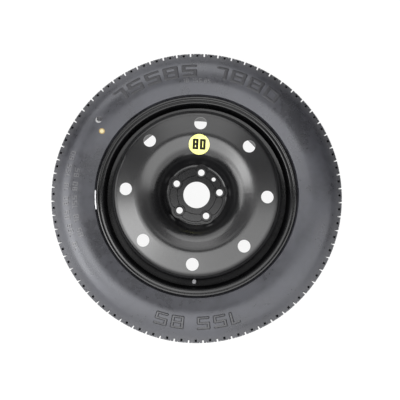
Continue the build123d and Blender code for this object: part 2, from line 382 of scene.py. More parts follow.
class Mottle(SharedEffect):
    """Cloudy patches with finer patches in them."""

    title = "mottle"
    knobs = {"Scale": 20.0}
    results = ("Cloud",)
    fine_ratio = 7.0
    broad_share = 0.7
    fine_share = 0.3
    levels = (0.34, 0.66)

    @classmethod
    def wire(cls, bench: NodeBench, knobs: bpy.types.NodeOutputs) -> dict[str, Socket]:
        """Adds a broad and a fine noise.

        Args:
            bench: Bench of the group's own tree.
            knobs: The group's inputs.

        Returns:
            A socket for each result.
        """
        broad = bench.noise(bench.place(), knobs["Scale"], detail=3.0)
        fine = bench.noise(bench.place(), bench.times(knobs["Scale"], cls.fine_ratio), detail=2.0)
        both = bench.plus(bench.times(broad, cls.broad_share), bench.times(fine, cls.fine_share))
        return {"Cloud": bench.remap(both, cls.levels, UNIT)}


class FineGrain(SharedEffect):
    """Close grain of a cast, moulded or sprayed skin."""

    title = "fine_grain"
    knobs = {"Scale": 900.0}
    results = ("Height",)

    @classmethod
    def wire(cls, bench: NodeBench, knobs: bpy.types.NodeOutputs) -> dict[str, Socket]:
        """Uses one noise of two octaves."""
        return {"Height": bench.noise(bench.place(), knobs["Scale"], detail=2.0)}


class Scuffs(SharedEffect):
    """Thin rub marks in patches that have been handled."""

    title = "scuffs"
    knobs = {"Scale": 60.0, "Amount": 0.5}
    results = ("Mask",)
    stretch = (1.0, 0.12, 1.0)
    slant = (0.0, 0.0, 0.6)
    line_ratio = 9.0
    middle = 0.5
    line_half = (0.0, 0.02)
    patch_ratio = 0.3
    patch_levels = (0.5, 0.65)

    @classmethod
    def wire(cls, bench: NodeBench, knobs: bpy.types.NodeOutputs) -> dict[str, Socket]:
        """Cuts hairlines out of stretched noise and keeps them in some patches only.

        Args:
            bench: Bench of the group's own tree.
            knobs: The group's inputs.

        Returns:
            A socket for each result.
        """
        drawn = bench.add("ShaderNodeMapping")
        drawn.inputs["Scale"].default_value = cls.stretch
        drawn.inputs["Rotation"].default_value = cls.slant
        bench.feed(drawn.inputs["Vector"], bench.place())
        lines = bench.noise(drawn.outputs[0], bench.times(knobs["Scale"], cls.line_ratio), detail=3.0)
        off_middle = bench.maths("ABSOLUTE", bench.maths("SUBTRACT", lines, cls.middle))
        hair = bench.remap(off_middle, cls.line_half, (1.0, 0.0))
        cloud = bench.noise(bench.place(), bench.times(knobs["Scale"], cls.patch_ratio), detail=2.0)
        patch = bench.remap(cloud, cls.patch_levels, UNIT)
        return {"Mask": bench.times(bench.times(hair, patch), knobs["Amount"])}


class SettledDust(SharedEffect):
    """Fine dust on whatever faces up."""

    title = "settled_dust"
    knobs = {"Scale": 25.0, "Amount": 0.2}
    results = ("Mask",)
    up_levels = (0.2, 1.0)
    patch_levels = (0.35, 0.75)
    speck_ratio = 60.0
    speck_levels = (0.45, 0.8)
    speck_range = (0.3, 1.0)

    @classmethod
    def wire(cls, bench: NodeBench, knobs: bpy.types.NodeOutputs) -> dict[str, Socket]:
        """Multiplies a patchy speckle by how far the surface faces up.

        Args:
            bench: Bench of the group's own tree.
            knobs: The group's inputs.

        Returns:
            A socket for each result.
        """
        normal = bench.split(bench.add("ShaderNodeNewGeometry").outputs["Normal"])
        facing = bench.remap(normal["Z"], cls.up_levels, UNIT)
        patch = bench.remap(bench.noise(bench.place(), knobs["Scale"], detail=4.0), cls.patch_levels, UNIT)
        speck = bench.noise(bench.place(), bench.times(knobs["Scale"], cls.speck_ratio), detail=1.0)
        grains = bench.remap(speck, cls.speck_levels, cls.speck_range)
        shown = bench.times(bench.times(facing, patch), grains)
        return {"Mask": bench.times(shown, knobs["Amount"])}


MADE: dict[str, bpy.types.Material] = {}


@dataclass(frozen=True)
class Finish:
    """A skin of two mottled colours with a close grain; the title names its material."""

    title: str
    fresh: Colour
    dulled: Colour
    sheen: Pair
    gloss: float = 0.5
    metallic: float = 0.0
    patch_scale: float = 160.0
    grain_scale: float = 2500.0
    grain_strength: float = 0.4
    grain_depth: float = 0.02 * MM

    def material(self) -> bpy.types.Material:
        """Makes the material on first use.

        Returns:
            The material.
        """
        made = MADE.get(self.title)
        if made is not None:
            return made
        made = bpy.data.materials.new(self.title)
        MADE[self.title] = made
        bench = NodeBench.cleared(made)
        shader = bench.add("ShaderNodeBsdfPrincipled")
        sink = bench.add("ShaderNodeOutputMaterial")
        bench.feed(sink.inputs["Surface"], shader.outputs["BSDF"])
        self.wire(bench, shader)
        return made

    def wire(self, bench: NodeBench, shader: bpy.types.Node) -> None:
        """Feeds the shader.

        Args:
            bench: Bench of the material's tree.
            shader: The Principled shader.
        """
        cloud = self.cloud(bench)
        self.skin(bench, shader, self.colour(bench, cloud), self.roughness(bench, cloud), self.grain(bench))

    def cloud(self, bench: NodeBench) -> Socket:
        """Returns the patches that mix both colours."""
        return Mottle.use(bench, scale=self.patch_scale)["Cloud"]

    def grain(self, bench: NodeBench) -> Socket:
        """Returns the height of the grain."""
        return FineGrain.use(bench, scale=self.grain_scale)["Height"]

    def colour(self, bench: NodeBench, cloud: Socket) -> Socket:
        """Returns the mottled colour."""
        return bench.mix(cloud, self.fresh, self.dulled)

    def roughness(self, bench: NodeBench, cloud: Socket) -> Socket:
        """Returns the roughness, which follows the patches."""
        return bench.remap(cloud, UNIT, self.sheen)

    def skin(self, bench: NodeBench, shader: bpy.types.Node, colour: Socket, roughness: Socket,
             height: Socket) -> None:
        """Feeds colour, roughness and normal, and sets the plain values.

        Args:
            bench: Bench of the material's tree.
            shader: The Principled shader.
            colour: Colour of the skin.
            roughness: Its roughness.
            height: Height of its grain, from 0 to 1.
        """
        bench.feed(shader.inputs["Base Color"], colour)
        bench.feed(shader.inputs["Roughness"], roughness)
        bench.feed(shader.inputs["Normal"], bench.bump(height, self.grain_strength, self.grain_depth))
        shader.inputs["Specular IOR Level"].default_value = self.gloss
        shader.inputs["Metallic"].default_value = self.metallic


@dataclass(frozen=True)
class PaintFinish(Finish):
    """Black lacquer on steel: orange peel, rub marks, dust; less coat in bowl and at edge paints shade."""

    fresh: Colour = (0.0035, 0.0035, 0.004, 1.0)
    dulled: Colour = (0.006, 0.006, 0.0066, 1.0)
    dust: Colour = (0.11, 0.105, 0.10, 1.0)
    bare: Colour = (0.045, 0.045, 0.047, 1.0)
    sheen: Pair = (0.26, 0.36)
    gloss: float = 0.1
    patch_scale: float = 14.0
    grain_scale: float = 420.0
    grain_strength: float = 0.35
    grain_depth: float = 0.01 * MM
    scuff_scale: float = 55.0
    scuff_amount: float = 0.5
    scuff_roughness: float = 0.12
    dust_scale: float = 22.0
    dust_amount: float = 0.05
    lip_start: Pair = (0.2425, 0.2465)
    bowl_edge: Pair = (0.106, 0.118)
    crown_edge: Pair = (0.186, 0.196)
    # Painted shade: the coat drops to these shares in the bowl and past crown_edge, where the steel lies in
    # shade.
    lacquer: float = 0.95
    lacquer_cut_for_shade: Pair = (0.5, 0.2)
    lacquer_roughness: float = 0.2
    lacquer_index: float = 1.8

    def wire(self, bench: NodeBench, shader: bpy.types.Node) -> None:
        """Feeds the skin and a lacquer coat that drops by radius, as painted shade in bowl and edge.

        Args:
            bench: Bench of the material's tree.
            shader: The Principled shader.
        """
        cloud = self.cloud(bench)
        scuff = Scuffs.use(bench, scale=self.scuff_scale, amount=self.scuff_amount)["Mask"]
        dust = SettledDust.use(bench, scale=self.dust_scale, amount=self.dust_amount)["Mask"]
        radius = WheelRadius.use(bench)["Radius"]
        chips = bench.times(scuff, bench.remap(radius, self.lip_start, UNIT))
        colour = bench.mix(dust, bench.mix(chips, self.colour(bench, cloud), self.bare), self.dust)
        rubbed = bench.plus(self.roughness(bench, cloud), bench.times(scuff, self.scuff_roughness))
        self.skin(bench, shader, colour, rubbed, self.grain(bench))
        # Painted shade: less coat, so darker reflections, in the bowl and past the crown's edge.
        bowl = bench.remap(radius, self.bowl_edge, (self.lacquer_cut_for_shade[0], 1.0))
        edge = bench.remap(radius, self.crown_edge, (self.lacquer, self.lacquer * self.lacquer_cut_for_shade[1]))
        bench.feed(shader.inputs["Coat Weight"], bench.times(bowl, edge))
        shader.inputs["Coat IOR"].default_value = self.lacquer_index
        shader.inputs["Coat Roughness"].default_value = self.lacquer_roughness


@dataclass(frozen=True)
class TyreFinish(Finish):
    """Moulded tyre rubber: mould rings on the sidewall, grey bloom, duller tread."""

    fresh: Colour = (0.018, 0.018, 0.021, 1.0)
    dulled: Colour = (0.034, 0.0345, 0.041, 1.0)
    dust: Colour = (0.15, 0.145, 0.14, 1.0)
    tread: Colour = (0.042, 0.042, 0.046, 1.0)
    cast: Colour = (0.93, 0.945, 1.0, 1.0)
    sheen: Pair = (0.26, 0.34)
    gloss: float = 0.8
    patch_scale: float = 11.0
    grain_scale: float = 1500.0
    grain_strength: float = 0.5
    grain_depth: float = 0.012 * MM
    dust_scale: float = 16.0
    dust_amount: float = 0.10
    tread_edge: Pair = (0.336, 0.352)
    tread_roughness: float = 0.06
    ring_pitch: float = 0.9 * MM
    ring_share: float = 0.6

    def wire(self, bench: NodeBench, shader: bpy.types.Node) -> None:
        """Feeds the skin, with the tread told apart by radius.

        Args:
            bench: Bench of the material's tree.
            shader: The Principled shader.
        """
        radius = WheelRadius.use(bench)["Radius"]
        cloud = self.cloud(bench)
        dust = SettledDust.use(bench, scale=self.dust_scale, amount=self.dust_amount)["Mask"]
        tread = bench.remap(radius, self.tread_edge, UNIT)
        colour = bench.mix(dust, bench.mix(tread, self.colour(bench, cloud), self.tread), self.dust)
        worn = bench.plus(self.roughness(bench, cloud), bench.times(tread, self.tread_roughness))
        wave = bench.maths("SINE", bench.times(radius, FULL_TURN / self.ring_pitch))
        rings = bench.times(bench.plus(wave, 1.0), self.ring_share / 2.0)
        self.skin(bench, shader, colour, worn, bench.plus(rings, self.grain(bench)))
        shader.inputs["Specular Tint"].default_value = self.cast


@dataclass(frozen=True)
class RubberFinish(Finish):
    """Small moulded rubber parts."""

    fresh: Colour = (0.012, 0.012, 0.013, 1.0)
    dulled: Colour = (0.03, 0.03, 0.032, 1.0)
    sheen: Pair = (0.45, 0.6)


@dataclass(frozen=True)
class FilmFinish(Finish):
    """Printed film: an even colour with slight print grain and a soft gloss."""

    fresh: Colour = (0.93, 0.92, 0.22, 1.0)
    dulled: Colour = (0.95, 0.94, 0.33, 1.0)
    sheen: Pair = (0.35, 0.5)
    patch_scale: float = 60.0
    grain_scale: float = 1800.0
    grain_strength: float = 0.2
    grain_depth: float = 0.01 * MM


@dataclass(frozen=True)
class ScuffedFinish(Finish):
    """A skin with thin rub marks."""

    scuff_scale: float = 200.0
    scuff_amount: float = 0.6

    def colour(self, bench: NodeBench, cloud: Socket) -> Socket:
        """Returns the mottled colour with the rub marks."""
        scuff = Scuffs.use(bench, scale=self.scuff_scale, amount=self.scuff_amount)["Mask"]
        return bench.mix(scuff, super().colour(bench, cloud), self.rub_colour())

    def rub_colour(self) -> Colour:
        """Returns the colour of the rub marks."""
        return self.fresh


@dataclass(frozen=True)
class MetalFinish(ScuffedFinish):
    """Bare metal with uneven tarnish and bright rub marks."""

    fresh: Colour = (0.62, 0.62, 0.64, 1.0)
    dulled: Colour = (0.36, 0.36, 0.37, 1.0)
    sheen: Pair = (0.28, 0.5)
    metallic: float = 1.0
    patch_scale: float = 120.0
    grain_scale: float = 2200.0
    grain_depth: float = 0.03 * MM


@dataclass(frozen=True)
class PlasticFinish(ScuffedFinish):
    """Moulded plastic with a fine spark-eroded grain and pale rub marks."""

    fresh: Colour = (0.17, 0.17, 0.18, 1.0)
    dulled: Colour = (0.26, 0.26, 0.27, 1.0)
    sheen: Pair = (0.32, 0.48)
    patch_scale: float = 220.0
    grain_scale: float = 3000.0
    grain_strength: float = 0.3
    grain_depth: float = 0.02 * MM
    scuff_scale: float = 300.0
    scuff_amount: float = 0.4

    def rub_colour(self) -> Colour:
        """Returns the colour of the rub marks."""
        return self.dulled


# Painted shade: the disc's coat drops in its bowl and past its crown, the rim's from the flange into the
# well.
DISC_PAINT = PaintFinish("satin_black_disc")
RIM_PAINT = PaintFinish("satin_black_rim", sheen=(0.22, 0.32), lacquer=0.5, lacquer_cut_for_shade=(1.0, 0.65),
                        crown_edge=(0.241, 0.228), lacquer_roughness=0.12)
TYRE_RUBBER = TyreFinish("moulded_tyre")
VALVE_RUBBER = RubberFinish("moulded_valve")
RAISED_LETTERING = RubberFinish("raised_lettering", fresh=(0.02, 0.02, 0.023, 1.0),
                                dulled=(0.033, 0.0335, 0.039, 1.0), sheen=(0.26, 0.34), gloss=0.8)
DOME_RUBBER = replace(RAISED_LETTERING, title="smooth_dome", dulled=(0.034, 0.0345, 0.04, 1.0))
# Painted highlight: the small figures are paler than the sidewall for the light their raised faces catch.
HIGHLIT_FINE_LETTERING = RubberFinish("fine_lettering_painted_highlight", fresh=(0.06, 0.06, 0.066, 1.0),
                              dulled=(0.085, 0.085, 0.092, 1.0), sheen=(0.3, 0.4), gloss=0.8)
DARK_LETTERING = RubberFinish("ribbed_lettering", fresh=(0.016, 0.016, 0.019, 1.0),
                              dulled=(0.026, 0.026, 0.031, 1.0), gloss=0.6)
# Painted highlight: pale grey for the crescent of light beside the sidewall dome.
PAINTED_HIGHLIGHT_GREY = RubberFinish("pale_painted_highlight", fresh=grey(0.25), dulled=grey(0.36))
STICKER_FILM = FilmFinish("yellow_film")
STICKER_INK = FilmFinish("black_ink", fresh=(0.006, 0.006, 0.003, 1.0), dulled=(0.012, 0.011, 0.005, 1.0),
                         gloss=0.12)
DOT_RING = FilmFinish("ochre_dot", fresh=(0.28, 0.19, 0.06, 1.0), dulled=(0.34, 0.24, 0.09, 1.0))
DOT_MIDDLE = FilmFinish("cream_dot", fresh=(0.52, 0.46, 0.25, 1.0), dulled=(0.6, 0.54, 0.33, 1.0))
ZINC = MetalFinish("cast_zinc")
SPRING_STEEL = MetalFinish("sprung_steel", fresh=(0.42, 0.42, 0.44, 1.0), dulled=(0.2, 0.2, 0.21, 1.0))
BRASS = MetalFinish("turned_brass", fresh=(0.72, 0.52, 0.22, 1.0), dulled=(0.4, 0.27, 0.11, 1.0))
CAP_PLASTIC = PlasticFinish("grey_cap")


def finish_piece(mesh: BMesh, title: str, finish: Finish,
                 sharp: float = math.radians(35.0)) -> bpy.types.Object:
    """Makes an object of a mesh, shades it and lets it ride on the wheel.

    Args:
        mesh: The modelled mesh, which is freed.
        title: Name of the piece.
        finish: Its finish.
        sharp: Edges that bend by more than this angle stay sharp.

    Returns:
        The new object.
    """
    piece = as_object(mesh, title)
    piece.data.shade_smooth()
    piece.data.set_sharp_from_angle(angle=sharp)
    piece.data.materials.append(finish.material())
    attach(piece, WHEEL_BODY)
    LOG.info("%s: %d faces", title, len(piece.data.polygons))
    return piece


class SectionPen:
    """Draws a section as a chain of edges: x is the radius, z the height above the wheel's middle plane."""

    def __init__(self, mesh: BMesh, radius: float, height: float) -> None:
        """Sets the pen down.

        Args:
            mesh: Mesh that takes the chain.
            radius: Radius of the first point.
            height: Height of the first point.
        """
        self.mesh = mesh
        self.tip = mesh.verts.new((radius, 0.0, height))

    def line(self, radius: float, height: float, parts: int = 1) -> "SectionPen":
        """Draws a straight run.

        Args:
            radius: Radius of its end.
            height: Height of its end.
            parts: Number of edges in it.

        Returns:
            The pen.
        """
        step = (Vector((radius, 0.0, height)) - self.tip.co) / parts
        for _ in range(parts):
            grown = bmesh.ops.extrude_vert_indiv(self.mesh, verts=[self.tip])
            self.tip = grown["verts"][0]
            bmesh.ops.translate(self.mesh, vec=step, verts=[self.tip])
        return self

    def arc(self, centre: Pair, radius: float, height: float, parts: int) -> "SectionPen":
        """Draws an arc about a centre.

        Args:
            centre: Radius and height of the centre.
            radius: Radius of the arc's end.
            height: Height of the arc's end.
            parts: Number of edges in it.

        Returns:
            The pen.
        """
        middle = Vector((centre[0], 0.0, centre[1]))
        start = self.tip.co - middle
        end = Vector((radius, 0.0, height)) - middle
        turn = math.atan2(end.z, end.x) - math.atan2(start.z, start.x)
        turn = (turn + math.pi) % FULL_TURN - math.pi
        spun = bmesh.ops.spin(self.mesh, geom=[self.tip], cent=middle, axis=(0.0, -1.0, 0.0), angle=turn,
                              steps=parts)
        self.tip = spun["geom_last"][0]
        return self

    def bent(self, points: list[Vector], bends: list[float], parts: int) -> "SectionPen":
        """Draws straight runs with rounded corners.

        Args:
            points: Start, corners and end, each with its radius and height.
            bends: Radius of each corner's arc.
            parts: Number of edges in each arc.

        Returns:
            The pen.
        """
        for before, corner, after, bend in zip(points, points[1:], points[2:], bends):
            back, ahead = (before - corner).normalized(), (after - corner).normalized()
            half = back.angle(ahead) / 2.0
            reach = bend / math.tan(half)
            centre = corner + (back + ahead).normalized() * bend / math.sin(half)
            self.line(*(corner + back * reach), parts=2)
            self.arc(tuple(centre), *(corner + ahead * reach), parts)
        return self.line(*points[-1], parts=2)


@dataclass
class Rim:
    """Steel rim, rolled from one strip and drawn from its tyre side."""

    flange_radius: float
    lip_height: float
    mid_height: float
    gauge: float = 2.4 * MM
    lip_return: float = 6.5 * MM
    lip_bend: float = 4.4 * MM
    flange_reach: float = 13.0 * MM
    flange_bend: float = 8.3 * MM
    flange_height: float = 17.3 * MM
    heel_bend: float = 6.5 * MM
    seat_width: float = 21.8 * MM
    seat_taper: float = math.radians(5.0)
    seat_edge_bend: float = 5.0 * MM
    well_depth: float = 23.0 * MM
    well_wall_tilt: float = math.radians(12.0)
    well_bend: float = 6.0 * MM
    hole_radius: float = 5.75 * MM
    hole_depth: float = 12.0 * MM
    hole_segments: int = 64
    cap_pivot_height: float = 20.0 * MM
    arc_parts: int = 7
    turns: int = 288
    sharp: float = math.radians(60.0)

    @classmethod
    def from_frame(cls) -> "Rim":
        """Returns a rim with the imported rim's radius, width and place."""
        low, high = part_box("rim")
        return cls(high.x, (high.z - low.z) / 2.0, (high.z + low.z) / 2.0)

    def corners(self) -> list[Vector]:
        """Lays out the tyre side.

        Returns:
            Its corners, from the outboard lip to the inboard one.
        """
        half_width = self.lip_height - self.flange_reach
        seat_radius = self.flange_radius - self.flange_height
        seat_end = seat_radius - self.seat_width * math.tan(self.seat_taper), half_width - self.seat_width
        well_radius = seat_radius - self.well_depth
        well_top = seat_end[1] - (seat_end[0] - well_radius) * math.tan(self.well_wall_tilt)
        upper = [
            Vector((self.flange_radius - self.lip_return + self.gauge / 2.0, self.lip_height)),
            Vector((self.flange_radius, self.lip_height)),
            Vector((self.flange_radius, half_width)),
            Vector((seat_radius, half_width)),
            Vector(seat_end),
            Vector((well_radius, well_top)),
        ]
        return upper + [Vector((corner.x, -corner.y)) for corner in reversed(upper)]

    def inner_side(self, corners: list[Vector], bends: list[float]) -> tuple[list[Vector], list[float]]:
        """Sets the drawn side back by the gauge.

        Args:
            corners: Corners of the tyre side.
            bends: Radii of its arcs.

        Returns:
            Corners and radii of the axis side, from the outboard lip to the inboard one.
        """
        runs = [(after - before).normalized() for before, after in zip(corners, corners[1:])]
        rights = [Vector((run.y, -run.x)) for run in runs]
        moved = [corners[0] + rights[0] * self.gauge]
        radii = []
        for index, bend in enumerate(bends):
            first, second = rights[index], rights[index + 1]
            moved.append(corners[index + 1] + (first + second) * self.gauge / (1.0 + first.dot(second)))
            inside = runs[index + 1].dot(first) > 0.0
            radii.append(bend - self.gauge if inside else bend + self.gauge)
        moved.append(corners[-1] + rights[-1] * self.gauge)
        return moved, radii

    def pierce(self, piece: bpy.types.Object) -> None:
        """Cuts the valve hole through the well wall.

        Args:
            piece: The rim.
        """
        joints = frame["record"]["behaviour"]["joints"]
        cap_turn = next(joint for joint in joints if joint["name"] == "cap_turn")
        axis = Vector(cap_turn["axis"])
        seat = Vector(cap_turn["pos_m"]) - axis * self.cap_pivot_height
        along_axis = axis.to_track_quat("Z", "Y").to_matrix().to_4x4()
        mesh = bmesh.new()
        bmesh.ops.create_cone(mesh, cap_ends=True, segments=self.hole_segments, radius1=self.hole_radius,
                              radius2=self.hole_radius, depth=self.hole_depth,
                              matrix=Matrix.Translation(seat) @ along_axis)
        cutter = as_object(mesh, "valve_hole")
        cut = piece.modifiers.new("valve_hole", "BOOLEAN")
        cut.object = cutter
        cut.operation = "DIFFERENCE"
        cut.solver = "EXACT"
        depsgraph = bpy.context.evaluated_depsgraph_get()
        pierced = bpy.data.meshes.new_from_object(piece.evaluated_get(depsgraph))
        piece.modifiers.clear()
        piece.data = pierced
        plug = cutter.data
        bpy.data.objects.remove(cutter)
        bpy.data.meshes.remove(plug)

    def build(self) -> bpy.types.Object:
        """Spins the strip's section and cuts the valve hole.

        Returns:
            The rim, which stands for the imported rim.
        """
        half_bends = [self.lip_bend, self.flange_bend, self.heel_bend, self.seat_edge_bend, self.well_bend]
        bends = half_bends + half_bends[::-1]
        outer = self.corners()
        inner, inner_bends = self.inner_side(outer, bends)
        mesh = bmesh.new()
        pen = SectionPen(mesh, *outer[0]).bent(outer, bends, self.arc_parts)
        low_edge = (outer[-1] + inner[-1]) / 2.0
        pen.line(low_edge.x - self.gauge / 2.0, low_edge.y).line(*inner[-1])
        pen.bent(inner[::-1], inner_bends[::-1], self.arc_parts)
        high_edge = (outer[0] + inner[0]) / 2.0
        pen.line(high_edge.x - self.gauge / 2.0, high_edge.y).line(*outer[0])
        weld(mesh)
        bmesh.ops.spin(mesh, geom=everything(mesh), cent=CENTRE, axis=AXLE, angle=FULL_TURN, steps=self.turns,
                       use_merge=True)
        weld(mesh)
        face_outwards(mesh)
        bmesh.ops.translate(mesh, vec=AXLE * self.mid_height, verts=mesh.verts)
        piece = finish_piece(mesh, "rolled_rim", RIM_PAINT, self.sharp)
        self.pierce(piece)
        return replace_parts(piece, "rim")


@dataclass
class Tyre:
    """Slim tyre with blocks on both shoulders and two ribs in the middle."""

    crown_radius: float
    half_section: float
    mid_height: float
    pitch_count: int = 64
    slot_turn: float = math.radians(86.9)
    slot_width: float = 3.8 * MM
    slot_floor: float = 11.0 * MM
    sipe_width: float = 0.9 * MM
    sipe_floor: float = 5.0 * MM
    sipe_reach: float = 17.0 * MM
    pocket_width: float = 5.4 * MM
    pocket_depth: float = 15.0 * MM
    groove_depth: float = 8.0 * MM
    groove_width: float = 8.0 * MM
    groove_height: float = 22.0 * MM
    centre_groove: float = 4.0 * MM
    half_tread: float = 58.0 * MM
    crown_drop: float = 1.3 * MM
    edge_inset: float = 2.0 * MM
    edge_fall: float = 1.2 * MM
    edge_bulge: float = 0.5 * MM
    shoulder_radius: float = 331.0 * MM
    shoulder_inset: float = 5.6 * MM
    shoulder_parts: int = 12
    widest_radius: float = 299.0 * MM
    crease_bend: float = 80.0 * MM
    crease_parts: int = 6
    ledge_radius: float = 251.9 * MM
    ledge_height: float = 64.6 * MM
    heel_rise: float = 10.0 * MM
    heel_run: float = 8.0 * MM
    seat_height: float = 50.55 * MM
    seat_run: float = 20.0 * MM
    seat_fall: float = 2.0 * MM
    toe_run: float = 22.5 * MM
    toe_fall: float = 18.0 * MM
    wall: float = 4.5 * MM
    low_wall_run: float = 20.0 * MM
    low_wall_lean: float = 4.0 * MM
    high_wall_run: float = 10.0 * MM
    liner_drop: float = 18.0 * MM
    liner_bend_drop: float = 8.0 * MM
    liner_bend_reach: float = 4.0 * MM
    liner_flat_inset: float = 14.0 * MM
    half_seam: float = 0.5 * MM

    @classmethod
    def from_frame(cls) -> "Tyre":
        """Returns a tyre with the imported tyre's radius, width and place."""
        low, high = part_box("tyre")
        return cls(high.x, (high.z - low.z) / 2.0, (high.z + low.z) / 2.0)

    @property
    def widest(self) -> Pair:
        """Radius and height where the sidewall is widest."""
        return self.widest_radius, self.half_section

    @property
    def shoulder(self) -> Pair:
        """Radius and height where the sidewall meets the shoulder."""
        return self.shoulder_radius, self.half_section - self.shoulder_inset

    @property
    def ledge(self) -> Pair:
        """Radius and height of the corner beside the rim's lip."""
        return self.ledge_radius, self.ledge_height

    def wall_centre(self, end: Pair) -> Pair:
        """Centre of the arc from the widest point to an end.

        Args:
            end: Radius and height of the arc's other end.

        Returns:
            Radius and height of the centre, which lies straight under the widest point.
        """
        run, fall = end[0] - self.widest[0], self.widest[1] - end[1]
        return self.widest[0], self.widest[1] - (run * run + fall * fall) / (2.0 * fall)

    def crease_end(self) -> tuple[Pair, Pair]:
        """Finds the end of the crease's arc.

        Returns:
            The centre of the arc and the point where the straight inner wall starts.
        """
        centre = Vector((self.widest[0], self.widest[1] - self.crease_bend))
        back = Vector(self.ledge) - centre
        spoke = back.normalized() * self.crease_bend
        spoke.rotate(Matrix.Rotation(-math.acos(self.crease_bend / back.length), 2))
        return tuple(centre), tuple(centre + spoke)

    def crown_at(self, height: float) -> float:
        """Radius of the tread at a height above the middle plane."""
        return self.crown_radius - self.crown_drop * (height / self.half_tread) ** 2

    def draw_tread(self, pen: SectionPen) -> None:
        """Draws half of the tread, from the middle groove to the shoulder.

        Args:
            pen: Pen at the middle groove's floor.
        """
        floor = self.crown_radius - self.groove_depth
        inner, outer = self.groove_height - self.groove_width / 2, self.groove_height + self.groove_width / 2
        half_centre = self.centre_groove / 2
        edge = self.crown_radius - self.crown_drop
        slope = (self.shoulder[1] - self.half_tread) / (edge - self.shoulder[0])
        pen.line(floor, half_centre)
        pen.line(self.crown_at(half_centre), half_centre).line(self.crown_at(inner), inner, parts=3)
        pen.line(floor, inner).line(floor, outer).line(self.crown_at(outer), outer)
        sipe_end = self.half_tread - self.sipe_reach
        pen.line(self.crown_at(sipe_end), sipe_end, parts=3)
        pen.line(self.crown_at(self.half_tread - self.edge_inset), self.half_tread - self.edge_inset)
        pen.line(edge - self.edge_fall, self.half_tread + self.edge_bulge)
        for depth in (self.sipe_floor, self.slot_floor):
            radius = self.crown_radius - depth
            pen.line(radius, self.half_tread + (edge - radius) * slope)
        pen.line(*self.shoulder, parts=4)

    def draw_half(self, mesh: BMesh) -> None:
        """Draws half of the section, from the middle groove over the tread and sidewall to the liner.

        Args:
            mesh: Mesh that takes the chain.
        """
        pen = SectionPen(mesh, self.crown_radius - self.groove_depth, self.half_seam)
        self.draw_tread(pen)
        pen.arc(self.wall_centre(self.shoulder), *self.widest, self.shoulder_parts)
        crease, crease_end = self.crease_end()
        pen.arc(crease, *crease_end, self.crease_parts).line(*self.ledge, parts=6)
        seat = self.seat_height
        pen.line(self.ledge_radius, seat + self.heel_rise, parts=2)
        pen.line(self.ledge_radius - self.heel_run, seat, parts=3)
        pen.line(self.ledge_radius - self.seat_run, seat - self.seat_fall, parts=2)
        pen.line(self.ledge_radius - self.toe_run, seat - self.toe_fall, parts=2)
        inside = self.half_section - self.wall
        pen.line(self.widest_radius - self.low_wall_run, inside - self.low_wall_lean, parts=4)
        pen.line(self.widest_radius + self.high_wall_run, inside, parts=2)
        liner = self.crown_radius - self.liner_drop
        pen.line(liner - self.liner_bend_drop, self.half_tread + self.liner_bend_reach, parts=3)
        pen.line(liner, self.half_tread - self.liner_flat_inset, parts=2)
        pen.line(liner, self.half_seam, parts=2)

    def pitch_columns(self) -> list[float]:
        """Shares out one pitch.

        Returns:
            Turns of its columns: block, slot, block, sipe, block, pocket, block, sipe and block.
        """
        pitch = FULL_TURN / self.pitch_count
        slot = self.slot_width / self.crown_radius
        pocket = self.pocket_width / self.crown_radius
        sipe = self.sipe_width / self.crown_radius
        block = (pitch - slot - pocket - 2.0 * sipe) / 4.0
        return [block / 2, slot, block, sipe, block, pocket, block, sipe, block / 2]

    @staticmethod
    def faces_between(mesh: BMesh, turn: Pair) -> list[tuple[bmesh.types.BMFace, Vector]]:
        """Finds the faces of some columns.

        Args:
            mesh: Mesh of one pitch.
            turn: First and last turn of the columns.

        Returns:
            Each face with its middle.
        """
        spots = [(face, face.calc_center_median()) for face in mesh.faces]
        return [(face, spot) for face, spot in spots if turn[0] < math.atan2(spot.y, spot.x) < turn[1]]

    @staticmethod
    def part_off(mesh: BMesh, chosen: list[bmesh.types.BMFace]) -> list[bmesh.types.BMVert]:
        """Puts side walls round some faces, so that they can be moved away.

        Args:
            mesh: Mesh of one pitch.
            chosen: The faces.

        Returns:
            Vertices of the faces that take their place.
        """
        grown = bmesh.ops.extrude_face_region(mesh, geom=chosen)["geom"]
        bmesh.ops.delete(mesh, geom=chosen, context="FACES")
        return verts_of(grown)

    def sink(self, mesh: BMesh, turn: Pair, heights: Pair, floor: float) -> None:
        """Cuts a slot into the tread.

        Args:
            mesh: Mesh of one pitch.
            turn: First and last turn of the slot.
            heights: Lowest and highest height of the slot.
            floor: Radius of its floor.
        """
        low, high = heights[0] - MERGE_DISTANCE, heights[1]
        chosen = [face for face, spot in self.faces_between(mesh, turn)
                  if low < spot.z < high and spot.xy.length > floor - MERGE_DISTANCE]
        for vert in self.part_off(mesh, chosen):
            vert.co.xy *= floor / vert.co.xy.length

    def drill(self, mesh: BMesh, turn: Pair, radii: Pair) -> None:
        """Sinks a blind pocket straight down into the shoulder.

        Args:
            mesh: Mesh of one pitch.
            turn: First and last turn of the pocket.
            radii: Inner and outer radius of the pocket.
        """
        chosen = [face for face, spot in self.faces_between(mesh, turn)
                  if spot.z > self.half_tread and radii[0] < spot.xy.length < radii[1]]
        bmesh.ops.translate(mesh, vec=-AXLE * self.pocket_depth, verts=self.part_off(mesh, chosen))

    def cut_pitch(self, mesh: BMesh, columns: list[float]) -> None:
        """Cuts the slot, the sipes and the pocket of one pitch.

        Args:
            mesh: Mesh of one pitch.
            columns: Turns of its columns.
        """
        spans = [(sum(columns[:index]), sum(columns[:index + 1])) for index in range(len(columns))]
        _, slot, _, first_sipe, _, pocket, _, second_sipe, _ = spans
        groove_side = self.groove_height + self.groove_width / 2
        slot_base, sipe_base = self.crown_radius - self.slot_floor, self.crown_radius - self.sipe_floor
        self.sink(mesh, slot, (groove_side, self.half_section), slot_base)
        for sipe in (first_sipe, second_sipe):
            self.sink(mesh, sipe, (self.half_tread - self.sipe_reach, self.half_section), sipe_base)
        self.drill(mesh, pocket, (slot_base, sipe_base))

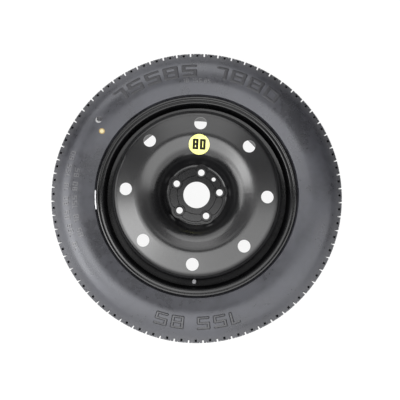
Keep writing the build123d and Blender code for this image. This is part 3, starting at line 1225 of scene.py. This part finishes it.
    def mirror(self, mesh: BMesh, pitch: float) -> None:
        """Adds the other half, half a pitch on, and closes the seams between both.

        Args:
            mesh: Mesh of the outboard half.
            pitch: Turn of one pitch.
        """
        other = verts_of(bmesh.ops.duplicate(mesh, geom=everything(mesh))["geom"])
        bmesh.ops.scale(mesh, vec=(1.0, 1.0, -1.0), verts=other)
        bmesh.ops.rotate(mesh, cent=CENTRE, matrix=Matrix.Rotation(pitch / 2, 3, "Z"), verts=other)
        for drop in (self.groove_depth, self.liner_drop):
            seam = self.crown_radius - drop
            rings = [edge for edge in mesh.edges
                     if edge.is_boundary and abs(edge.verts[0].co.xy.length - seam) < self.half_seam]
            bmesh.ops.bridge_loops(mesh, edges=rings)

    def build(self) -> bpy.types.Object:
        """Builds the tyre from one pitch of its outboard half.

        Returns:
            The tyre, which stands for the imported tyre.
        """
        mesh = bmesh.new()
        self.draw_half(mesh)
        columns = self.pitch_columns()
        last = everything(mesh)
        for turn in columns:
            last = bmesh.ops.spin(mesh, geom=last, cent=CENTRE, axis=AXLE, angle=turn, steps=1)["geom_last"]
        self.cut_pitch(mesh, columns)
        weld(mesh)
        pitch = sum(columns)
        bmesh.ops.spin(mesh, geom=everything(mesh), cent=CENTRE, axis=AXLE, angle=FULL_TURN - pitch,
                       steps=self.pitch_count - 1, use_duplicate=True)
        weld(mesh)
        self.mirror(mesh, pitch)
        face_outwards(mesh)
        slot_middle = columns[0] + columns[1] / 2
        onto_slot = Matrix.Rotation(self.slot_turn - slot_middle, 3, "Z")
        bmesh.ops.rotate(mesh, cent=CENTRE, matrix=onto_slot, verts=mesh.verts)
        bmesh.ops.translate(mesh, vec=AXLE * self.mid_height, verts=mesh.verts)
        piece = finish_piece(mesh, "tyre_moulding", TYRE_RUBBER)
        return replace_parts(piece, "tyre")


class Drape:
    """Finds the height of an outboard surface straight under a point."""

    start_height = 1.0

    def __init__(self, target: bpy.types.Object) -> None:
        """Keeps a search tree of the target's faces."""
        corners = [target.matrix_world @ vert.co for vert in target.data.vertices]
        self.tree = BVHTree.FromPolygons(corners, [list(face.vertices) for face in target.data.polygons])

    def height(self, x: float, y: float) -> float:
        """Height of the surface at one place.

        Args:
            x: First coordinate in the wheel's frame.
            y: Second coordinate.

        Returns:
            Height of the topmost face there.
        """
        return self.tree.ray_cast(Vector((x, y, self.start_height)), -AXLE)[0].z

    def wrap(self, mesh: BMesh, radius: float, turn: float, lift: float, straight: bool = False) -> None:
        """Lays a flat mesh on the surface.

        Args:
            mesh: Mesh whose x runs clockwise, y outwards and z off the surface.
            radius: Radius where its origin goes.
            turn: Turn where its origin goes.
            lift: Gap under the mesh.
            straight: Whether the mesh keeps its straight lines instead of bending round the wheel.
        """
        for vert in mesh.verts:
            aside = vert.co.x if straight else 0.0
            angle = turn - (vert.co.x - aside) / radius
            reach = radius + vert.co.y
            x = reach * math.cos(angle) + aside * math.sin(turn)
            y = reach * math.sin(angle) - aside * math.cos(turn)
            vert.co = (x, y, self.height(x, y) + lift + vert.co.z)


@dataclass
class Numerals:
    """A row of heavy block figures that stands off a surface."""

    title: str
    text: str
    radius: float
    turn: float
    height: float
    width: float
    stroke: float
    bar: float
    gap: float
    space: float = 0.0
    slope: float = 1.5 * MM
    rise: float = 0.9 * MM
    lift: float = -0.1 * MM
    edge: float = 0.2 * MM
    cell: float = 4.0 * MM
    straight: bool = False
    tip_share: float = 0.45
    tip_segments: int = 4
    columns: ClassVar[int] = 3
    lines: ClassVar[int] = 5
    patterns: ClassVar[dict[str, str]] = {
        "0": "### #.# #.# #.# ###",
        "1": ".## ..# ..# ..# ..#",
        "5": "### #.. ### ..# ###",
        "8": "### #.# ### #.# ###",
    }

    def outline(self, sign: str) -> BMesh:
        """Makes the flat faces of one figure from a grid of cells.

        Args:
            sign: The figure.

        Returns:
            Its faces, with the lower left corner at the origin and round tips.
        """
        mesh = bmesh.new()
        bmesh.ops.create_grid(mesh, x_segments=self.columns, y_segments=self.lines, size=0.5)
        bmesh.ops.translate(mesh, vec=(0.5, 0.5, 0.0), verts=mesh.verts)
        rows = self.patterns[sign].split()
        empty = []
        for face in mesh.faces:
            spot = face.calc_center_median()
            if rows[int((1.0 - spot.y) * self.lines)][int(spot.x * self.columns)] == ".":
                empty.append(face)
        low_bar = (self.height - self.bar) / 2.0
        across = (0.0, self.stroke, self.width - self.stroke, self.width)
        up = (0.0, self.bar, low_bar, low_bar + self.bar, self.height - self.bar, self.height)
        for vert in mesh.verts:
            vert.co = (across[round(vert.co.x * self.columns)], up[round(vert.co.y * self.lines)], 0.0)
        bmesh.ops.delete(mesh, geom=empty, context="FACES")
        tips = [vert for vert in mesh.verts if len(vert.link_faces) == 1]
        bmesh.ops.bevel(mesh, geom=tips, offset=self.bar * self.tip_share, offset_type="OFFSET",
                        affect="VERTICES", segments=self.tip_segments, profile=0.5, material=-1)
        return mesh

    def figure(self, sign: str) -> BMesh:
        """Makes one raised figure.

        Args:
            sign: The figure.

        Returns:
            A closed shell with a flat base and, where the row has them, sloping sides.
        """
        mesh = self.outline(sign)
        if self.slope > 0.0:
            raised = mesh.faces[:]
            bmesh.ops.inset_region(mesh, faces=raised, thickness=self.slope, use_boundary=True,
                                   use_even_offset=True)
            tops = {vert for face in raised for vert in face.verts}
            bmesh.ops.translate(mesh, vec=AXLE * self.rise, verts=list(tops))
        base = mesh.verts[:]
        skin = verts_of(bmesh.ops.extrude_face_region(mesh, geom=mesh.faces[:])["geom"])
        bmesh.ops.translate(mesh, vec=AXLE * self.edge, verts=skin)
        bmesh.ops.scale(mesh, vec=(1.0, 1.0, 0.0), verts=base)
        face_outwards(mesh)
        return mesh

    def row(self) -> BMesh:
        """Sets the figures side by side.

        Returns:
            The row about the origin, cut into small cells.
        """
        mesh = bmesh.new()
        pen = 0.0
        for sign in self.text:
            if sign == " ":
                pen += self.space
                continue
            figure = self.figure(sign)
            bmesh.ops.translate(figure, vec=(pen, 0.0, 0.0), verts=figure.verts)
            pen += self.width + self.gap
            held = bpy.data.meshes.new(self.title)
            figure.to_mesh(held)
            figure.free()
            mesh.from_mesh(held)
            bpy.data.meshes.remove(held)
        length = pen - self.gap
        bmesh.ops.translate(mesh, vec=(-length / 2.0, -self.height / 2.0, 0.0), verts=mesh.verts)
        for normal, span in ((Vector((1.0, 0.0, 0.0)), length), (Vector((0.0, 1.0, 0.0)), self.height)):
            steps = int(span / self.cell)
            for step in range(1, steps):
                place = normal * (step / steps - 0.5) * span
                bmesh.ops.bisect_plane(mesh, geom=everything(mesh), plane_co=place, plane_no=normal)
        return mesh

    def build(self, drape: Drape, finish: Finish, slot: Slot) -> bpy.types.Object:
        """Lays the row on a surface.

        Args:
            drape: Surface that carries the row.
            finish: Finish of the numerals.
            slot: Not used.

        Returns:
            The row.
        """
        mesh = self.row()
        drape.wrap(mesh, self.radius, self.turn, self.lift, self.straight)
        return finish_piece(mesh, self.title, finish)


@dataclass
class SidewallSpot:
    """A round mark on the sidewall: a paint dot, a painted highlight disc or a low dome."""

    title: str
    radius: float
    turn: float
    half_width: float
    rise: float
    finish: Finish
    slot: Slot
    edge: float = 0.13 * MM
    lift: float = -0.1 * MM
    rings: int = 6
    segments: int = 40

    def build(self, drape: Drape) -> bpy.types.Object:
        """Makes a disc that bulges in the middle and lays it on the surface.

        Args:
            drape: Surface that carries the mark.

        Returns:
            The mark.
        """
        mesh = bmesh.new()
        bmesh.ops.create_circle(mesh, cap_ends=True, segments=self.segments, radius=self.half_width)
        ring = self.half_width / (self.rings + 0.5)
        for _ in range(self.rings):
            inmost = min(mesh.faces, key=lambda face: (face.calc_center_median().length, -len(face.verts)))
            bmesh.ops.inset_region(mesh, faces=[inmost], thickness=ring, use_boundary=True)
        for vert in verts_of(bmesh.ops.extrude_face_region(mesh, geom=mesh.faces[:])["geom"]):
            share = vert.co.xy.length / self.half_width
            vert.co.z = self.edge + self.rise * math.sqrt(max(0.0, 1.0 - share ** 2))
        face_outwards(mesh)
        drape.wrap(mesh, self.radius, self.turn, self.lift)
        return finish_piece(mesh, self.title, self.finish)


BIG_ROW = Numerals("size_numerals", "15585 1880", radius=310.0 * MM, turn=math.radians(90.5),
                   height=33.0 * MM, width=38.0 * MM, stroke=9.5 * MM, bar=7.0 * MM, gap=9.0 * MM,
                   space=30.0 * MM)
LOWER_ROW = Numerals("lower_numerals", "155 85", radius=310.0 * MM, turn=math.radians(271.0),
                     height=32.0 * MM, width=32.0 * MM, stroke=8.5 * MM, bar=6.5 * MM, gap=8.0 * MM,
                     space=22.0 * MM, slope=2.2 * MM, rise=1.8 * MM)
OUTER_ROW = Numerals("outer_numerals", "18 155 85 80 18 155 80", radius=319.0 * MM, turn=math.radians(183.0),
                     height=13.0 * MM, width=9.0 * MM, stroke=2.6 * MM, bar=2.2 * MM, gap=3.4 * MM,
                     space=9.0 * MM, slope=0.15 * MM)
INNER_ROW = replace(OUTER_ROW, title="inner_numerals", text="85 18 155 80 85", radius=297.0 * MM,
                    turn=math.radians(184.0))
TOP_ROW = Numerals("top_numerals", "18 155 85", radius=285.0 * MM, turn=math.radians(90.0),
                   height=10.0 * MM, width=6.5 * MM, stroke=2.0 * MM, bar=1.8 * MM, gap=2.4 * MM,
                   space=5.0 * MM, slope=0.15 * MM)
DOT = SidewallSpot("dot_ring", radius=281.5 * MM, turn=math.radians(146.2), half_width=7.0 * MM,
                   rise=0.1 * MM, finish=DOT_RING, slot=Slot.STICKER_FILM)
# Painted highlight: this pale disc sits just off the dome, so its edge shows as a bright crescent.
PAINTED_CRESCENT = SidewallSpot("sidewall_painted_highlight", radius=304.5 * MM, turn=math.radians(142.7), half_width=7.6 * MM,
                   rise=0.1 * MM, finish=PAINTED_HIGHLIGHT_GREY, slot=Slot.TYRE_RUBBER)


class TyreMarks:
    """Raised numerals, a paint dot, a low dome and a painted highlight disc on the outboard sidewall."""

    rows: tuple[tuple[Numerals, Finish], ...] = (
        (BIG_ROW, DARK_LETTERING),
        (LOWER_ROW, RAISED_LETTERING),
        (OUTER_ROW, HIGHLIT_FINE_LETTERING),
        (INNER_ROW, HIGHLIT_FINE_LETTERING),
        (TOP_ROW, HIGHLIT_FINE_LETTERING),
    )
    spots: tuple[SidewallSpot, ...] = (
        DOT,
        replace(DOT, title="dot_middle", half_width=4.8 * MM, rise=0.3 * MM, finish=DOT_MIDDLE),
        PAINTED_CRESCENT,
        replace(PAINTED_CRESCENT, title="sidewall_dome", radius=304.1 * MM, turn=math.radians(142.2), half_width=7.0 * MM,
                rise=0.8 * MM, finish=DOME_RUBBER),
    )

    def build(self, tyre: bpy.types.Object) -> None:
        """Lays all marks on the tyre.

        Args:
            tyre: The finished tyre.
        """
        drape = Drape(tyre)
        for row, finish in self.rows:
            row.build(drape, finish, Slot.TYRE_RUBBER)
        for spot in self.spots:
            spot.build(drape)


class StickerPrint:
    """Dark numerals on the yellow sticker."""

    def build(self) -> None:
        """Prints the numerals upright in the middle of the film."""
        low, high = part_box("speed_sticker")
        middle = (low + high) / 2.0
        row = Numerals("sticker_numerals", "80", radius=middle.xy.length, turn=math.atan2(middle.y, middle.x),
                       height=24.4 * MM, width=14.2 * MM, stroke=6.1 * MM, bar=5.0 * MM, gap=3.2 * MM,
                       slope=0.0, edge=0.06 * MM, lift=0.04 * MM, cell=2.0 * MM, straight=True)
        row.build(Drape(frame["nodes"]["speed_sticker"]), STICKER_INK, Slot.STICKER_FILM)


class PackedPieces:
    """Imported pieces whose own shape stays, with the finish of each."""

    finishes: dict[str, Finish] = {
        "wheel_disc": DISC_PAINT,
        "weld_seams": RIM_PAINT,
        "speed_sticker": STICKER_FILM,
        "balance_weight": ZINC,
        "balance_weight_clip": SPRING_STEEL,
        "valve_body": VALVE_RUBBER,
        "valve_tube": BRASS,
        "valve_core_barrel": BRASS,
        "valve_core_gasket": VALVE_RUBBER,
        "valve_core_spring": SPRING_STEEL,
        "valve_core_pin": BRASS,
        "valve_core_cup": VALVE_RUBBER,
        "valve_cap": CAP_PLASTIC,
        "valve_cap_seal": VALVE_RUBBER,
    }

    def dress(self) -> None:
        """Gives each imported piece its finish."""
        for title, finish in self.finishes.items():
            data = frame["nodes"][title].data
            data.materials.clear()
            data.materials.append(finish.material())
            LOG.info("%s: %s", title, finish.title)


@dataclass(frozen=True)
class CeilingPanel:
    """A soft lamp panel that hangs level over the wheel."""

    title: str
    centre: Pair
    size: Pair
    radiance: float
    height: float = 1.9

    def hang(self) -> None:
        """Adds the lamp."""
        lamp = bpy.data.lights.new(self.title, "AREA")
        lamp.shape = "RECTANGLE"
        lamp.size, lamp.size_y = self.size
        lamp.energy = self.radiance * math.pi * self.size[0] * self.size[1]
        panel = bpy.data.objects.new(self.title, lamp)
        panel.location = (*self.centre, self.height)
        bpy.context.scene.collection.objects.link(panel)
        LOG.info("%s: radiance %.2f", self.title, self.radiance)


@dataclass
class Studio:
    """Pale floor, ceiling panels and the camera that looks down on the wheel."""

    floor_height: float
    floor_half: float = 30.0
    floor_glow: float = 0.92
    floor_shade: Colour = grey(0.1)
    floor_paper: Colour = grey(0.8)
    aim: tuple[float, float, float] = (0.0084, -0.0136, 0.0138)
    camera_distance: float = 1.2
    camera_lean: float = math.radians(5.0)
    lens: float = 43.93
    sensor: float = 36.0
    sky: float = 0.2
    low_sky: float = 0.06
    sky_rise: Pair = (0.2, 0.75)
    horizon: float = 0.5
    horizon_band: Pair = (0.0, 0.06)
    panels: tuple[CeilingPanel, ...] = (
        CeilingPanel("front_panel", (0.3, -1.3), (5.4, 2.8), 2.1),
        CeilingPanel("far_front_panel", (-0.4, -3.4), (3.2, 1.3), 3.0, 1.8),
        CeilingPanel("left_panel", (-0.8, -0.55), (1.6, 1.3), 0.7, 1.88),
        CeilingPanel("left_spot", (-0.75, -0.15), (0.7, 0.55), 2.6, 1.86),
        CeilingPanel("far_left_panel", (-2.3, -0.3), (1.8, 2.2), 4.2, 1.84),
        CeilingPanel("back_panel", (0.0, 0.95), (0.9, 0.75), 1.15),
        CeilingPanel("far_back_panel", (-0.6, 2.5), (3.0, 2.4), 2.6, 1.82),
    )

    def paper(self) -> bpy.types.Material:
        """Makes the floor's paper.

        Returns:
            A material that is white where it is seen and plain paper to all other light.
        """
        paper = bpy.data.materials.new("floor_paper")
        bench = NodeBench.cleared(paper)
        path = bench.add("ShaderNodeLightPath").outputs
        seen = bench.maths("MAXIMUM", path["Is Camera Ray"], path["Is Glossy Ray"])
        seen = bench.maths("MAXIMUM", seen, path["Is Transmission Ray"])
        glow = bench.add("ShaderNodeEmission")
        glow.inputs["Strength"].default_value = self.floor_glow
        shade, plain = bench.add("ShaderNodeBsdfDiffuse"), bench.add("ShaderNodeBsdfDiffuse")
        shade.inputs["Color"].default_value = self.floor_shade
        plain.inputs["Color"].default_value = self.floor_paper
        shown = bench.add("ShaderNodeAddShader")
        choice = bench.add("ShaderNodeMixShader")
        sink = bench.add("ShaderNodeOutputMaterial")
        bench.feed(shown.inputs[0], glow.outputs[0])
        bench.feed(shown.inputs[1], shade.outputs[0])
        bench.feed(choice.inputs[0], seen)
        bench.feed(choice.inputs[1], plain.outputs[0])
        bench.feed(choice.inputs[2], shown.outputs[0])
        bench.feed(sink.inputs["Surface"], choice.outputs[0])
        return paper

    def lay_floor(self) -> None:
        """Lays a white floor that keeps a faint shadow of the wheel."""
        mesh = bmesh.new()
        bmesh.ops.create_grid(mesh, x_segments=1, y_segments=1, size=self.floor_half)
        bmesh.ops.translate(mesh, vec=AXLE * self.floor_height, verts=mesh.verts)
        floor = as_object(mesh, "floor")
        floor.data.materials.append(self.paper())

    def paint_sky(self) -> None:
        """Sets a dim room that grows pale towards the horizon and is white to the camera alone."""
        world = bpy.data.worlds.new("room")
        bench = NodeBench.cleared(world)
        height = bench.split(bench.add("ShaderNodeTexCoord").outputs["Generated"])["Z"]
        band = bench.remap(height, self.horizon_band, (self.horizon, 0.0))
        level = bench.plus(band, bench.remap(height, self.sky_rise, (self.low_sky, self.sky)))
        seen = bench.add("ShaderNodeLightPath").outputs["Is Camera Ray"]
        light = bench.add("ShaderNodeBackground")
        bench.feed(light.inputs["Strength"], bench.maths("MAXIMUM", level, seen))
        light.inputs["Color"].default_value = grey(1.0)
        sink = bench.add("ShaderNodeOutputWorld")
        bench.feed(sink.inputs["Surface"], light.outputs[0])
        bpy.context.scene.world = world

    def set_camera(self) -> None:
        """Hangs the camera over the wheel, leaning a little towards the valve."""
        data = bpy.data.cameras.new("camera")
        data.sensor_fit = "HORIZONTAL"
        data.sensor_width = self.sensor
        data.lens = self.lens
        camera = bpy.data.objects.new("camera", data)
        back = Vector((0.0, -math.sin(self.camera_lean), math.cos(self.camera_lean)))
        camera.location = Vector(self.aim) + back * self.camera_distance
        camera.rotation_mode = "QUATERNION"
        camera.rotation_quaternion = (-back).to_track_quat("-Z", "Y")
        bpy.context.scene.collection.objects.link(camera)
        bpy.context.scene.camera = camera

    def build(self) -> None:
        """Builds the whole studio."""
        self.lay_floor()
        self.paint_sky()
        for panel in self.panels:
            panel.hang()
        self.set_camera()
        bpy.context.scene.view_settings.view_transform = "Standard"


def main() -> None:
    """Builds and dresses the wheel, then the studio."""
    logging.basicConfig(level=logging.INFO, format="%(message)s")
    PackedPieces().dress()
    Rim.from_frame().build()
    tyre = Tyre.from_frame().build()
    TyreMarks().build(tyre)
    StickerPrint().build()
    Studio(floor_height=CAD_BOX[0].z).build()


if __name__ == "__main__":
    main()
